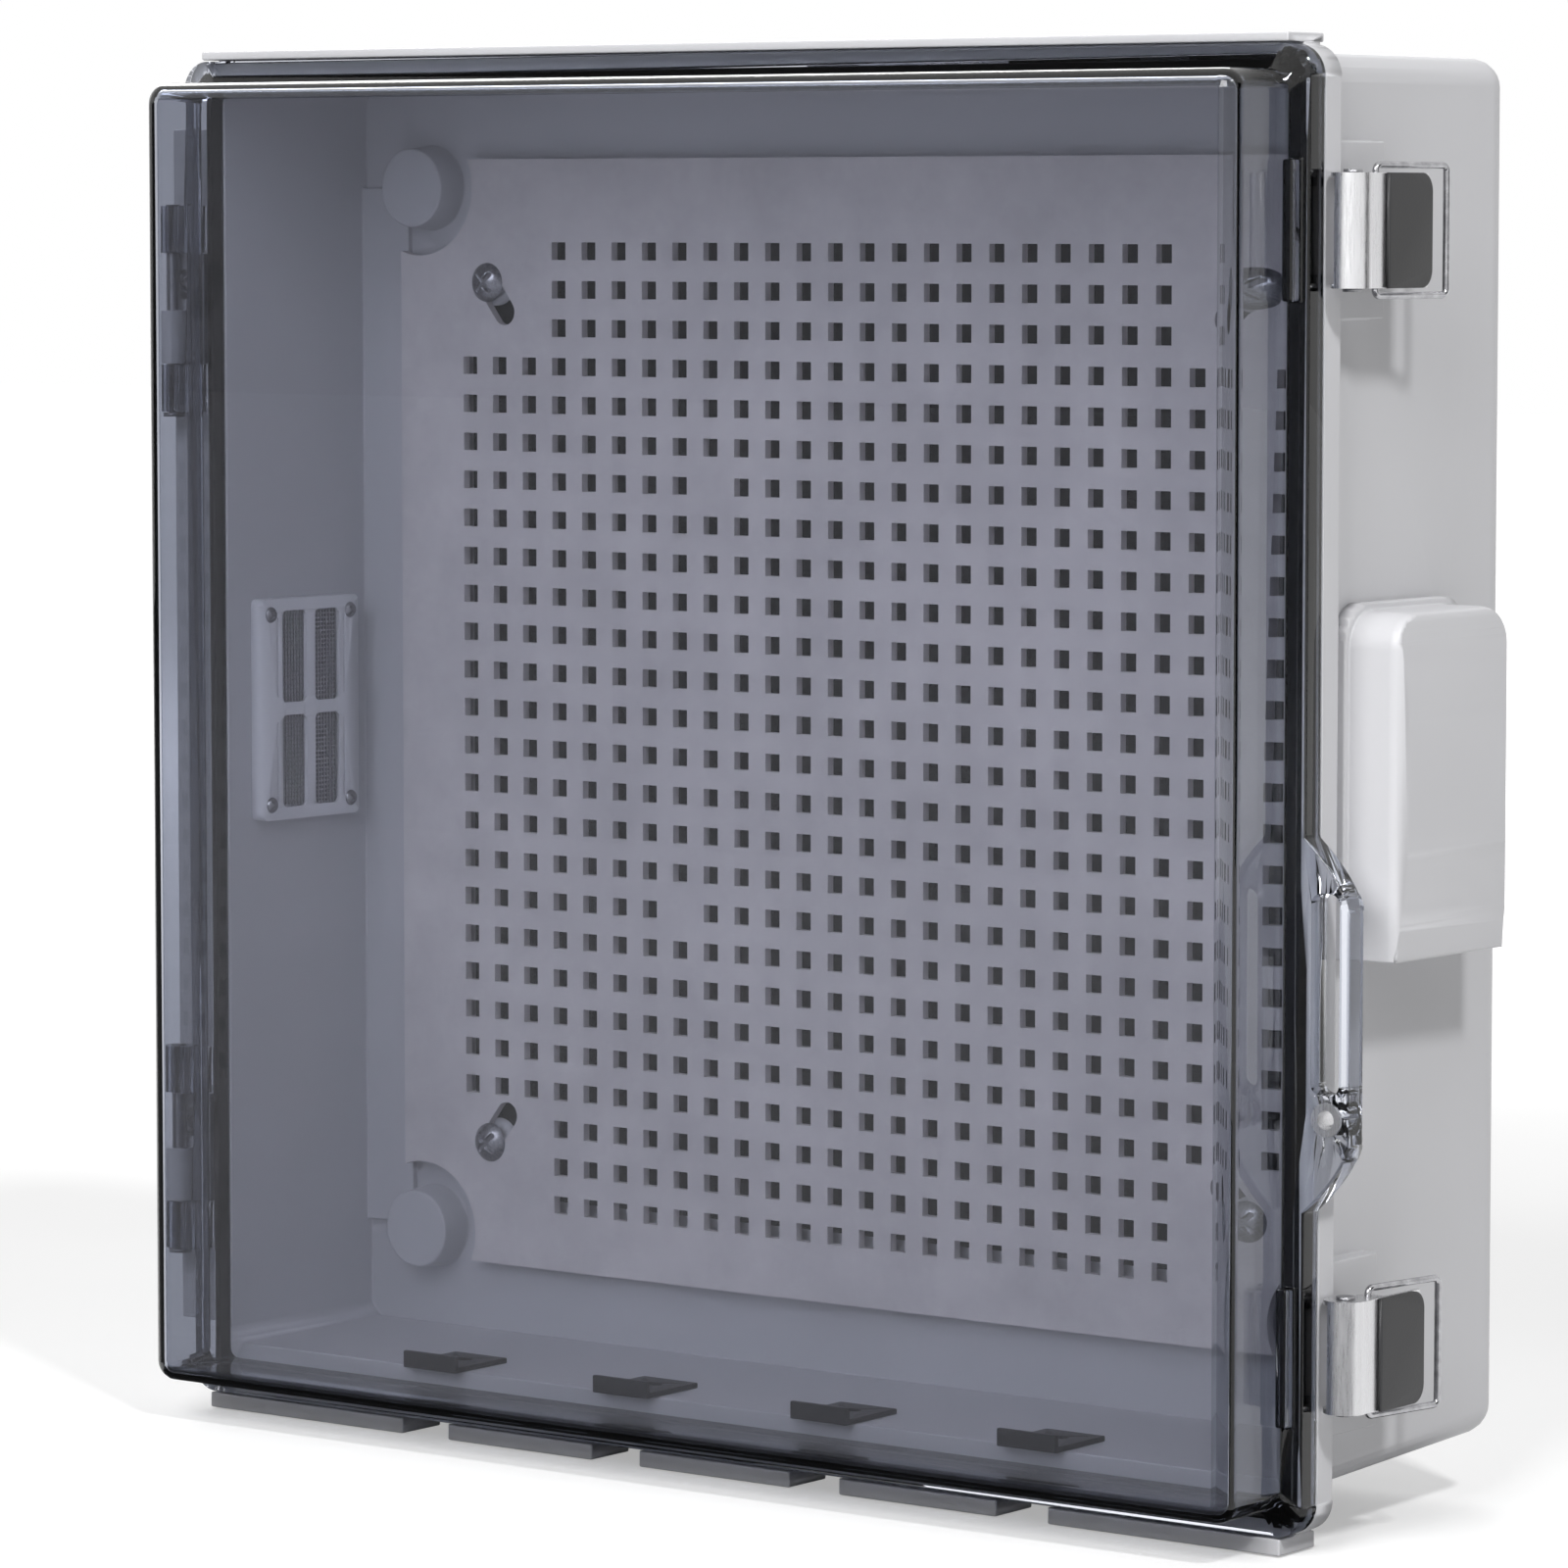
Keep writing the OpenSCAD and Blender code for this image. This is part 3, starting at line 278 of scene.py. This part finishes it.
lid_clear = smoked("smoked_clear_wall", seen(201, 203, 212), seen(205, 207, 216), mirror=0.04)
# one smoked plastic in four tints: the flange's lighter tint is painted light, and the darker tints of the
# edges and side walls are painted shade
lid_flange_painted_light = smoked("smoked_clear_flange_painted_light", seen(216, 219, 227), seen(220, 223, 231), mirror=0.4)
lid_edge_painted_shade = smoked("smoked_clear_edge_painted_shade", seen(150, 154, 165), seen(158, 162, 173), mirror=0.5)
lid_side_painted_shade = smoked("smoked_clear_side_painted_shade", seen(158, 162, 172), seen(164, 168, 178), mirror=0.3)
print("lid finishes:", [f.name for f in (lid_clear, lid_flange_painted_light, lid_edge_painted_shade, lid_side_painted_shade)])

# %% [markdown]
# ## Rubber, steel and brass
#
# The gasket is a matt black rubber cord. The latches are polished stainless sheet with faint draw lines along
# their height, the screws and hinge pins are satin steel, and the wall inserts are turned brass.

# %% Rubber
gasket_rubber, tree, shader, coords = new_finish("black_gasket_rubber")
dust = speckle(tree, coords, 220)
colour_from(tree, shader, dust, seen(4, 4, 5), seen(12, 12, 13))
roughness_from(tree, shader, dust, 0.5, 0.7)
bump_from(tree, shader, dust, depth=0.1 * MM)
shader.inputs["Specular IOR Level"].default_value = 0.25
print("rubber:", gasket_rubber.name)


# %% Metals
def drawn_metal(name, dark, light, smooth, rough, stretch):
    """A metal with draw lines: noise drawn out along the axis that stretch makes least of."""
    finish, tree, shader, coords = new_finish(name)
    lines = speckle(tree, coords, 60, detail=4, stretch=stretch)
    colour_from(tree, shader, lines, dark, light)
    roughness_from(tree, shader, lines, smooth, rough)
    bump_from(tree, shader, lines, depth=0.02 * MM, strength=0.25)
    shader.inputs["Metallic"].default_value = 1.0
    return finish


polished_steel = drawn_metal(
    "polished_latch_steel", seen(204, 204, 206), seen(216, 216, 218), smooth=0.24, rough=0.34,
    stretch=(40, 40, 2)
)
bright_wire = drawn_metal(
    "bright_bail_wire", seen(150, 150, 153), seen(184, 184, 187), smooth=0.08, rough=0.2, stretch=(6, 6, 6)
)
satin_steel = drawn_metal(
    "satin_screw_steel", seen(132, 132, 135), seen(168, 168, 171), smooth=0.28, rough=0.42, stretch=(30, 2, 30)
)
insert_brass = drawn_metal(
    "turned_insert_brass", seen(190, 150, 84), seen(214, 178, 108), smooth=0.25, rough=0.4, stretch=(8, 60, 8)
)
vent_wire = drawn_metal(
    "vent_wire_steel", seen(168, 168, 172), seen(198, 198, 202), smooth=0.35, rough=0.5, stretch=(20, 20, 20)
)
print("metals:", [f.name for f in (polished_steel, bright_wire, satin_steel, insert_brass, vent_wire)])

# %% [markdown]
# ## From a solid to a moulded piece
#
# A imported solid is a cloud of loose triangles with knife-sharp edges, and no moulding has those. For each
# piece the triangles are merged and every sharp edge with room for it gets a small round. A Weighted Normal
# modifier then keeps the flat faces flat to the eye, so only the rounds shade softly. The piece stands for
# its solid: it rides the same body, at the same place.

# %% Helpers that round a copy of a solid
MERGE_WITHIN = 0.004 * MM
ROOM, CROWD = 3, 1.2  # radii: an edge this long has room for a round, and one this short is in its way


def merged_copy(node):
    """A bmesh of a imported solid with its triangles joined."""
    shape = bmesh.new()
    shape.from_mesh(frame["nodes"][node].data)
    bmesh.ops.remove_doubles(shape, verts=shape.verts, dist=MERGE_WITHIN)
    return shape


def round_edges(shape, radius, least=38):
    """Rounds each edge that is sharper than so many degrees and has room for it at both ends."""
    roomy = [e for e in shape.edges if e.is_manifold and e.calc_length() > ROOM * radius]
    crowded = {v for e in shape.edges if e.calc_length() < CROWD * radius for v in e.verts}
    sharp = [
        e for e in roomy
        if e.calc_face_angle() > math.radians(least) and not crowded.intersection(e.verts)
    ]
    made = bmesh.ops.bevel(
        shape, geom=sharp, offset=radius, segments=2, profile=0.5, affect="EDGES",
        clamp_overlap=False, material=-1
    )
    return made["faces"]


print("rounding helpers ready")


# %% Helpers that make a piece
def linked(name, shape, finishes):
    """An object in the scene from a bmesh, which is used up, in its finishes."""
    mesh = bpy.data.meshes.new(name)
    shape.to_mesh(mesh)
    shape.free()
    for finish in finishes:
        mesh.materials.append(finish)
    made = bpy.data.objects.new(name, mesh)
    bpy.context.scene.collection.objects.link(made)
    return made


def piece(name, shape, finishes, body, node, soft=50):
    """Turns a bmesh into a piece that rides a body and stands for a node."""
    made = linked(name, shape, finishes)
    made.data.polygons.foreach_set("use_smooth", [True] * len(made.data.polygons))
    made.data.set_sharp_from_angle(angle=math.radians(soft))
    even = made.modifiers.new("even_shading", "WEIGHTED_NORMAL")
    even.keep_sharp = True
    even.weight = 100
    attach(made, body)
    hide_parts(node)
    print(name, len(made.data.polygons), "faces")


def dressed(node, finish, radius):
    """A rounded copy of a solid, in its finish, in its place."""
    shape = merged_copy(node)
    if radius:
        round_edges(shape, radius)
    piece("dressed_" + node, shape, [finish], body_of_node[node], node)


print("piece helpers ready")

# %% [markdown]
# ## The shell and what is moulded on it
#
# The base is one moulding with a rim, a drafted body, four bosses and the bars above and below the lid.
# The hoods are separate mouldings, screwed on over the vents. A small round on their edges catches the light.

# %% Shell, hoods and frames
dressed("enclosure_base", pale_shell, 0.5 * MM)
for side in ("left", "right"):
    dressed("vent_hood_" + side, pale_shell, 0.6 * MM)
    dressed("vent_frame_" + side, vent_grey, 0.35 * MM)
    dressed("vent_screws_" + side, satin_steel, 0)

# %% [markdown]
# ## The plate and small fittings
#
# The plate has over six hundred square holes, and its edges are far too small to round at this scale, so it
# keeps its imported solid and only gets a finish. The same holds for the inserts in the wall holes.

# %% Finish on the plate and inserts
for node, finish in (("mounting_plate", plate_grey), ("wall_inserts", insert_brass)):
    solid = frame["nodes"][node].data
    solid.materials.clear()
    solid.materials.append(finish)
    print(node, "finished in", finish.name)

# %% Screws, clips and hinges
dressed("plate_screws", satin_steel, 0.2 * MM)
dressed("hinge_screws", satin_steel, 0.2 * MM)
for n in range(1, 5):
    dressed(f"floor_clip_{n}", clip_black, 0.25 * MM)
for level in ("upper", "lower"):
    dressed("hinge_bracket_" + level, pale_shell, 0.2 * MM)
    dressed("hinge_pin_" + level, satin_steel, 0.2 * MM)

# %% [markdown]
# ## The draw latches
#
# Each latch is a polished steel lever with a dark grip, and a wire bail that swings in it. Sheet steel has
# fine rolled edges, so the rounds are small.

# %% Latches
for level in ("upper", "lower"):
    dressed("latch_lever_" + level, polished_steel, 0.2 * MM)
    dressed("latch_grip_" + level, grip_dark, 0.5 * MM)
    dressed("latch_bail_" + level, bright_wire, 0)
    dressed("latch_pin_" + level, satin_steel, 0.2 * MM)
dressed("padlock_eyelet", polished_steel, 0.2 * MM)

# %% [markdown]
# ## The lid
#
# One clear moulding: a flange, a raised dome, hinge knuckles, catch ribs and the pull ear. Its front and back
# faces get the thin smoke. Its rounded and slanted faces, the side of the flange and the dome's side walls get
# a
# darker tint: painted shade, for the dark lines that light bent in the thick plastic draws there. The flat of
# the
# flange gets a lighter tint: painted light. The gasket sits in the flange.

# %% Lid and gasket
seal_low, seal_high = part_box("lid_gasket")
seal_middle = (seal_low.z + seal_high.z) / 2
flange_front = seal_low.y - 4.2 * MM  # just in front of the flange's front face
dome_reach = seal_high.x - 8 * MM  # from the lid's middle to where the flange begins
WALL, FLANGE, EDGE, SIDE = range(4)  # the order of the lid's finishes


# the lid's faces take painted shade on edges and side walls, and painted light on the flange
def lid_finish(face, rolled):
    """Which finish a face of the lid gets; rolled are the faces of its rounded edges."""
    middle = face.calc_center_median()
    slanted = max(abs(c) for c in face.normal) < 0.985
    upright = abs(face.normal.y) < 0.5
    out = max(abs(middle.x), abs(middle.z - seal_middle))
    on_flange = middle.y > flange_front and out > dome_reach
    if face in rolled or slanted or (on_flange and upright):
        return EDGE
    if on_flange:
        return FLANGE
    return SIDE if upright else WALL


lid_shape = merged_copy("lid_cover")
rolled_faces = set(round_edges(lid_shape, 0.7 * MM))
for face in lid_shape.faces:
    face.material_index = lid_finish(face, rolled_faces)
lid_finishes = [lid_clear, lid_flange_painted_light, lid_edge_painted_shade, lid_side_painted_shade]
piece("dressed_lid_cover", lid_shape, lid_finishes, "lid", "lid_cover")
dressed("lid_gasket", gasket_rubber, 0.4 * MM)

# %% [markdown]
# ## The woven vent mesh
#
# Behind each frame a wire mesh keeps insects out. It is woven: each upright wire passes over one cross wire
# and under the next. At this size a straight wire of square section, set a hair in front of or behind its
# neighbour, reads as weave, and it costs six faces.

# %% Vent mesh
WIRE, PITCH = 0.42 * MM, 1.3 * MM
WEAVE = 0.12 * MM  # how far a wire lies in front of or behind the middle


def lay_wires(shape, first, last, place, size):
    """Wires a pitch apart from first to last; place and size say where one wire is and how big."""
    count = int((last - first - WIRE) / PITCH)
    for k in range(count + 1):
        at = first + WIRE / 2 + (last - first - WIRE) * k / count
        stand = Matrix.Translation(place(at)) @ Matrix.Diagonal((*size, 1))
        bmesh.ops.create_cube(shape, size=1.0, matrix=stand)


for side in ("left", "right"):
    low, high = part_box("vent_mesh_" + side)
    depth, y, z = (low + high) / 2
    lift = min(WEAVE, (high.x - low.x - WIRE) / 2)
    mesh_shape = bmesh.new()
    lay_wires(mesh_shape, low.y, high.y, lambda at: (depth + lift, at, z), (WIRE, WIRE, high.z - low.z))
    lay_wires(mesh_shape, low.z, high.z, lambda at: (depth - lift, y, at), (WIRE, high.y - low.y, WIRE))
    piece("woven_mesh_" + side, mesh_shape, [vent_wire], "base", "vent_mesh_" + side, soft=30)

# %% [markdown]
# ## Studio
#
# A pale floor just under the box, a white surround, a key lamp high on the latch side, which draws the
# shadows under the latches and the hood, a large soft lamp in front that reaches into the box, and
# another behind, so that no side is left dark. The surround is white to the camera and in reflections, and
# weaker as a light, so colours render about as written. The floor glows a little where it is looked at, more
# so far away, so that no horizon shows.


# %% Rays that see the white surround
def looked_at(tree):
    """1 for rays that look at a surface, straight, mirrored or through the lid, 0 for rays that light it."""
    rays = tree.nodes.new("ShaderNodeLightPath").outputs
    straight_or_mirrored = combined(tree, "MAXIMUM", rays["Is Camera Ray"], rays["Is Glossy Ray"])
    return combined(tree, "MAXIMUM", straight_or_mirrored, rays["Is Transmission Ray"])


print("ray helper ready")

# %% Floor
FLOOR_HALF, FLOOR_DROP = 9.0, 0.5 * MM
NEAR_GLOW, FAR_GLOW = 0.38, 1.0
GLOW_STARTS, GLOW_ENDS = 0.7, 2.6  # metres from the middle of the box

floor_shape = bmesh.new()
bmesh.ops.create_grid(floor_shape, x_segments=4, y_segments=4, size=FLOOR_HALF)
bmesh.ops.translate(floor_shape, verts=floor_shape.verts, vec=(0, 0, solids_low.z - FLOOR_DROP))
floor_paint, tree, shader, coords = new_finish("pale_floor_paint")
colour_from(tree, shader, speckle(tree, coords, 3), (0.62, 0.62, 0.62, 1), (0.66, 0.66, 0.66, 1))
shader.inputs["Roughness"].default_value = 0.9
shader.inputs["Specular IOR Level"].default_value = 0.0
shader.inputs["Emission Color"].default_value = (1, 1, 1, 1)
away = tree.nodes.new("ShaderNodeVectorMath")
away.operation = "LENGTH"
tree.links.new(coords, away.inputs[0])
glow = from_to(tree, away.outputs["Value"], NEAR_GLOW, FAR_GLOW, GLOW_STARTS, GLOW_ENDS)
tree.links.new(combined(tree, "MULTIPLY", glow, looked_at(tree)), shader.inputs["Emission Strength"])
floor = linked("pale_floor", floor_shape, [floor_paint])
print("floor at", round(solids_low.z, 4))

# %% White surround
LIGHT_STRENGTH, SEEN_STRENGTH = 0.16, 1.0

world = bpy.data.worlds.new("white_surround")
bpy.context.scene.world = world
world.use_nodes = True
tree = world.node_tree
surround = tree.nodes["Background"]
surround.inputs["Color"].default_value = (1, 1, 1, 1)
strength = from_to(tree, looked_at(tree), LIGHT_STRENGTH, SEEN_STRENGTH)
tree.links.new(strength, surround.inputs["Strength"])
print("surround:", world.name)


# %% Lamps
def soft_lamp(name, place, target, size, watts):
    """A square area lamp that looks at a point."""
    lamp = bpy.data.lights.new(name, "AREA")
    lamp.size = size
    lamp.energy = watts
    holder = bpy.data.objects.new(name, lamp)
    holder.location = place
    holder.rotation_euler = (Vector(target) - Vector(place)).to_track_quat("-Z", "Y").to_euler()
    bpy.context.scene.collection.objects.link(holder)
    print(name, watts, "W")


soft_lamp("key_lamp", (2.1, -1.3, 2.4), target=(0.1, -0.07, 0), size=0.35, watts=61)
soft_lamp("back_lamp", (-2.0, 2.0, 1.8), target=(0, -0.07, 0), size=1.8, watts=55)
soft_lamp("front_lamp", (0.5, -2.7, 1.7), target=(0, -0.07, 0), size=1.6, watts=82)

# %% [markdown]
# ### Dark cards
#
# In an all-white room polished steel looks like white paint, and clear plastic disappears behind a milky
# reflection. Photographers stand dark cards around the set, so that metal, gloss and the edges of clear
# pieces have something dark to mirror. One card here stands beside the latches, one lies under the box and
# two are in front of the lid, one lying and one upright. All are seen in reflections, and the one under the
# box through the lid's edges too: it is a painted shadow, a black sheet for the shade on the floor beneath the
# box. They cast no shadow, and no camera sees them.


# %% Dark cards
def card_paint(name, dark, light):
    """A matt paint for a card."""
    finish, tree, shader, coords = new_finish(name)
    colour_from(tree, shader, speckle(tree, coords, 5), dark, light)
    shader.inputs["Roughness"].default_value = 0.9
    return finish


def dark_card(name, paint, width, height, middle, turn=0, tilt=0, through=False):
    """A flat card, tilted up from lying by tilt degrees and then turned about Z."""
    shape = bmesh.new()
    bmesh.ops.create_grid(shape, x_segments=2, y_segments=2, size=0.5)
    bmesh.ops.scale(shape, verts=shape.verts, vec=(width, height, 1))
    stand = Matrix.Rotation(math.radians(turn), 4, "Z") @ Matrix.Rotation(math.radians(tilt), 4, "X")
    bmesh.ops.transform(shape, matrix=Matrix.Translation(middle) @ stand, verts=shape.verts)
    card = linked(name, shape, [paint])
    card.visible_camera = False
    card.visible_diffuse = False
    card.visible_shadow = False
    card.visible_transmission = through
    print(name, width, "by", height, "m")


on_floor = solids_low.z - 0.2 * MM
black_card = card_paint("black_card_paint", seen(34, 34, 36), seen(44, 44, 46))
grey_card = card_paint("grey_card_paint", seen(112, 112, 115), seen(122, 122, 125))
dark_card("latch_side_card", black_card, 1.3, 2.2, (2.3, 0.75, 0.3), turn=72, tilt=90)
dark_card("upright_front_card", grey_card, 4.0, 0.7, (-2.5, -1.7, 0.1), tilt=90)
# painted shadow: a black sheet for the shade on the floor under the box, seen through the lid's edges
dark_card("under_box_shadow_card", black_card, 0.43, 0.16, (0, -0.08, on_floor), through=True)
dark_card("lying_front_card", grey_card, 5.6, 1.66, (-1.7, -0.99, on_floor))

# %% [markdown]
# ## Camera
#
# The photo was taken with a long lens from the right, a little above the middle of the box. The angles and
# the lens were fitted to the edges of the flange, the dome and the body.

# %% Camera
azimuth, elevation = math.radians(37.404), math.radians(4.729)
looks_along = Vector((
    -math.sin(azimuth) * math.cos(elevation), math.cos(azimuth) * math.cos(elevation), -math.sin(elevation)
))
lens = bpy.data.cameras.new("long_lens")
lens.lens = 158.4
lens.sensor_width = 36.0
camera = bpy.data.objects.new("long_lens", lens)
camera.location = (1.199833, -1.649823, 0.151286)
camera.rotation_euler = looks_along.to_track_quat("-Z", "Y").to_euler()
bpy.context.scene.collection.objects.link(camera)
bpy.context.scene.camera = camera
bpy.context.scene.view_settings.view_transform = "Standard"
print("camera at", [round(c, 3) for c in camera.location])
